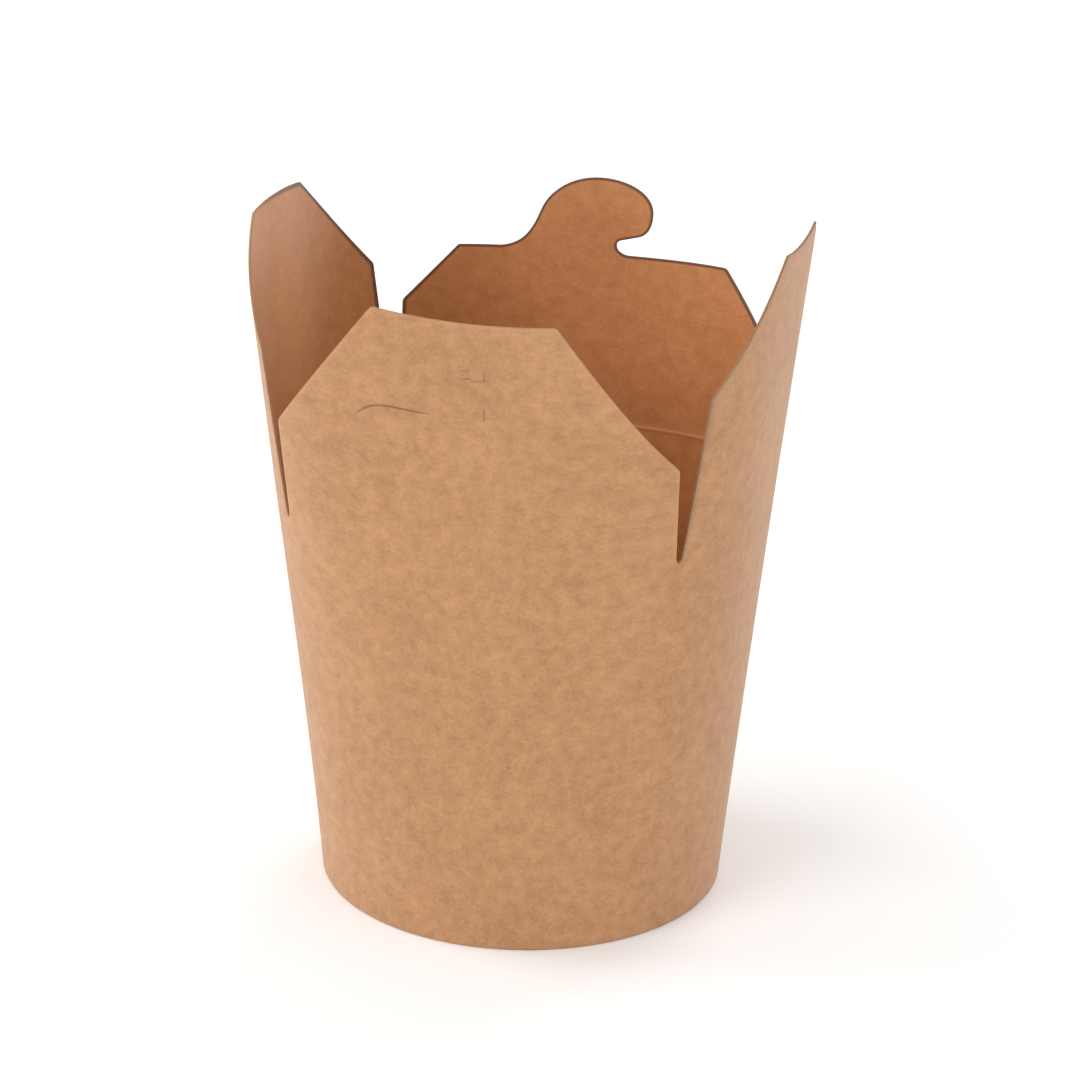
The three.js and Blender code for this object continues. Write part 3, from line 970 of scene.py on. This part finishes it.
def board_material(
    name, tones, rough, tooth, fibre, cloud, marks=(), ink=None, flecks=0.3, edges=(), flute=0.0, sheen=0.0
):
    """Kraft board, clouded between three tones, with fibres, flecks, marks and rims painted along its
    edges: the dark rims are partly painted shade and partly burr, and the slit's dark line is painted
    shade.
    """
    dark, mid, pale = tones
    material = bpy.data.materials.new(name)
    material.use_nodes = True
    n = Nodes(material.node_tree)
    n.tree.nodes.clear()
    sheet = n.add("ShaderNodeUVMap", uv_map="sheet").outputs[0]
    out = n.add("ShaderNodeGroup", {"Sheet": sheet, "Fleck Share": flecks}, node_tree=GRAIN).outputs
    shade = n.math("MULTIPLY_ADD", n.ramp(out["Cloud"], 0.3, 0.7, -1, 1, smooth=False), cloud, 0.5)
    shade = n.math("MULTIPLY_ADD", n.ramp(out["Tone"], 0.3, 0.7, -1, 1), 0.1, shade, clamp=True)
    low = n.mix(n.ramp(shade, 0.0, 0.5, smooth=False), (*dark, 1), (*mid, 1))
    colour = n.mix(n.ramp(shade, 0.5, 1.0, smooth=False), low, (*pale, 1))

    def tint_over(amount, tint):
        return n.mix(amount, colour, (*tint, 1))

    def scaled(tint, factor):
        return [c * factor for c in tint]

    colour = tint_over(n.math("MULTIPLY", out["Fibre"], fibre), scaled(mid, 0.55))
    colour = tint_over(n.math("MULTIPLY", out["Pale Fibre"], fibre), scaled(pale, 1.25))
    colour = tint_over(n.math("MULTIPLY", out["Fleck"], 0.7), FLECK)
    height = n.math("MULTIPLY_ADD", out["Flute"], flute / tooth, out["Tooth"])
    for start, end, width, depth, amount in marks:
        mark = n.add(
            "ShaderNodeGroup", {"Sheet": sheet, "From": (*start, 0), "To": (*end, 0), "Width": width},
            node_tree=SCORED,
        ).outputs[0]
        if depth:
            height = n.math("MULTIPLY_ADD", mark, depth, height)
        colour = tint_over(n.math("MULTIPLY", mark, amount), ink)
    for label, low, high, tint, amount in edges:
        rim_level = n.add("ShaderNodeAttribute", attribute_name=label).outputs["Fac"]
        colour = tint_over(n.math("MULTIPLY", n.ramp(rim_level, low, high), amount), tint)
    bump = n.add("ShaderNodeBump", {"Strength": 1.0, "Distance": tooth * MM, "Height": height})
    gloss = n.ramp(out["Cloud"], 0.3, 0.7, rough - 0.05, rough + 0.05)
    shader = n.add(
        "ShaderNodeBsdfPrincipled",
        {
            "Base Color": colour, "Roughness": gloss, "Normal": bump.outputs[0], "IOR": 1.45,
            "Sheen Weight": sheen, "Sheen Roughness": 0.5,
        },
    )
    end = n.add("ShaderNodeOutputMaterial")
    n.tree.links.new(shader.outputs[0], end.inputs[0])
    return material


FLECK = (0.075, 0.036, 0.016)
# Dark brown: the stain of the pressed die marks, and the painted shade along the slit.
PRESSED_AND_SLIT_SHADE = (0.19, 0.078, 0.026)
# Marks on the outer face: start and end on the sheet in millimetres, width, depth, stain.
DIE_MARKS = [
    ((-3.6, 121.6), (0.0, 122.0), 0.26, -0.3, 0.10),
    ((0.2, 122.0), (1.2, 122.15), 0.32, -0.45, 0.46),
    ((-3.2, 120.1), (0.0, 120.45), 0.26, -0.3, 0.12),
    ((0.1, 120.45), (1.5, 120.6), 0.32, -0.45, 0.48),
    ((1.7, 120.1), (4.15, 120.4), 0.32, -0.45, 0.40),
    ((4.15, 122.2), (4.15, 120.4), 0.32, -0.45, 0.36),
    ((4.1, 114.8), (4.1, 112.6), 0.32, -0.55, 0.48),
]
SPECKS = [
    ((4.8, 107.4), (4.8, 107.2), 0.32, 0, 0.42), ((6.1, 102.2), (6.1, 101.8), 0.50, 0, 0.16),
    ((9.5, 41.0), (9.6, 40.9), 0.30, 0, 0.85), ((4.6, 59.9), (4.8, 59.8), 0.30, 0, 0.45),
    ((2.1, 60.9), (2.3, 60.7), 0.26, 0, 0.35), ((-1.2, 59.7), (-0.9, 59.6), 0.28, 0, 0.25),
    ((12.3, 61.1), (12.4, 60.9), 0.36, 0, 0.45), ((21.5, 78.0), (21.7, 77.6), 0.60, 0, 0.22),
    ((14.6, 68.3), (14.8, 68.1), 0.30, 0, 0.35), ((23.0, 33.5), (23.2, 33.3), 0.32, 0, 0.30),
]
INNER_CREASE = [((-140.0, CREASE_Z + 0.05), (190.0, CREASE_Z + 0.05), 0.5, 0, 0.3)]

# Painted edge rims: the mark that the mesh carries, where the rim starts and is full, its tint and
# strength. The dark rims along the back and side flaps are partly painted shade and partly burr, and the
# slit's dark line is painted shade.
kraft_outer = board_material(
    "kraft_outer", ((0.352, 0.168, 0.069), (0.420, 0.212, 0.094), (0.488, 0.257, 0.120)),
    rough=0.84, tooth=0.04, fibre=0.2, cloud=0.56, sheen=0.2, marks=DIE_MARKS + SPECKS, ink=PRESSED_AND_SLIT_SHADE,
    edges=(
        ("clean_edge", 0.0, 0.5, (0.50, 0.27, 0.13), 0.3),
        ("shade_and_burr_edge", 0.0, 0.6, (0.20, 0.14, 0.10), 0.45),
        ("slit_shade", 0.2, 0.9, PRESSED_AND_SLIT_SHADE, 0.62),
    ),
)
# On the inner face, the dark rim along every flap edge is partly painted shade and partly burr.
kraft_inner = board_material(
    "kraft_inner", ((0.431, 0.177, 0.060), (0.510, 0.216, 0.078), (0.583, 0.263, 0.101)),
    rough=0.42, tooth=0.02, fibre=0.16, cloud=0.45, sheen=0.08, flecks=0.25, flute=0.05,
    marks=INNER_CREASE, ink=(0.66, 0.33, 0.18),
    edges=[(label, 0.0, 0.5, (0.10, 0.045, 0.022), 0.85) for label in ("clean_edge", "shade_and_burr_edge")],
)
# The cut faces of the back and side flaps are painted dark, partly as painted shade and partly as burr.
board_edge = board_material(
    "board_edge", ((0.33, 0.172, 0.085), (0.375, 0.200, 0.102), (0.42, 0.228, 0.118)),
    rough=0.95, tooth=0.03, fibre=0.2, cloud=0.4, flecks=0.1,
    edges=(("shade_and_burr_edge", 0.0, 1.0, (0.11, 0.075, 0.055), 0.8),),
)
BOARD_FACES = [kraft_outer, kraft_inner, board_edge]
ROLLED_BOARD = rolled_board_tree()


# --- the box ------------------------------------------------------------------------------

for piece, slot, nodes in (
    (sleeve_piece(), "kraft_sleeve", ["wall"]),
    (bottom_piece(), "kraft_bottom", ["base"]),
    (lap_piece("lap_outside", False), "kraft_sleeve", []),
    (lap_piece("lap_inside", True), "kraft_sleeve", []),
    (hem_crimps_piece(), "kraft_sleeve", []),
):
    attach(piece, "box")
    if nodes:
        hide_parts(*nodes)

# Each flap is built in place, its transform baked into its mesh, and the model.glb part that it stands for
# hidden.
for name in FLAPS:
    flap = flap_piece(name)
    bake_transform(flap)
    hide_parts(f"flap_{name}")


# --- floor, light and camera ---------------------------------------------------------------

FLOOR_HALF = 20
FLOOR_TONES = ((0.935, 0.935, 0.935, 1), (0.95, 0.95, 0.95, 1))
# Round lights that face the box: place in metres, width and power.
LIGHTS = {
    "left": ((-1.3, 0.0, 0.9), 1.0, 9.2),
    "front": ((-0.75, -1.2, 0.8), 1.0, 10.2),
    "back": ((0.3, 1.3, 1.0), 1.2, 9.2),
    "right": ((1.3, 0.1, 0.8), 1.0, 1.7),
    "low_right": ((1.15, -0.5, 0.13), 0.26, 2.8),
    "low_left": ((-1.15, -0.45, 0.14), 0.28, 0.3),
}
LIGHT_AIM = (0, 0, 0.07)
ROOM_LIGHT = 0.7
# Where the photograph was taken from, fitted to its outline of the box.
EYE = (0.16140, -0.56804, 0.29288)
SIGHT = Matrix((
    (0.96078, -0.11556, 0.25210),
    (0.27655, 0.33118, -0.90213),
    (0.02076, 0.93646, 0.35015),
))
LENS_MM, SENSOR_MM = 102.66, 36
NEAREST, FARTHEST = 0.01, 20


def floor_piece():
    """A pale floor so wide that its edge stays out of sight."""
    h = FLOOR_HALF
    mesh = bpy.data.meshes.new("floor")
    mesh.from_pydata([(-h, -h, 0), (h, -h, 0), (h, h, 0), (-h, h, 0)], [], [(0, 1, 2, 3)])
    material = bpy.data.materials.new("pale_floor")
    material.use_nodes = True
    n = Nodes(material.node_tree)
    shader = n.tree.nodes["Principled BSDF"]
    place = n.add("ShaderNodeTexCoord").outputs["Object"]
    n.tree.links.new(n.mix(n.noise(place, 6.0), *FLOOR_TONES), shader.inputs["Base Color"])
    shader.inputs["Roughness"].default_value = 0.9
    mesh.materials.append(material)
    obj = linked("floor", mesh)


def soft_light(name, place, size, power):
    """A round light that faces the box."""
    data = bpy.data.lights.new(name, "AREA")
    data.shape = "DISK"
    data.size = size
    data.energy = power
    obj = linked(name, data)
    obj.location = place
    obj.rotation_euler = (Vector(LIGHT_AIM) - Vector(place)).to_track_quat("-Z", "Y").to_euler()


floor_piece()
for name, (place, size, power) in LIGHTS.items():
    soft_light(name, place, size, power)
world = bpy.data.worlds.new("studio")
world.use_nodes = True
background = world.node_tree.nodes["Background"]
background.inputs[0].default_value = (1, 1, 1, 1)
background.inputs[1].default_value = ROOM_LIGHT
bpy.context.scene.world = world
bpy.context.scene.view_settings.view_transform = "Standard"

lens = bpy.data.cameras.new("camera")
lens.sensor_width = SENSOR_MM
lens.lens = LENS_MM
lens.clip_start, lens.clip_end = NEAREST, FARTHEST
camera = linked("camera", lens)
camera.matrix_world = Matrix.Translation(EYE) @ SIGHT.to_quaternion().to_matrix().to_4x4()
bpy.context.scene.camera = camera
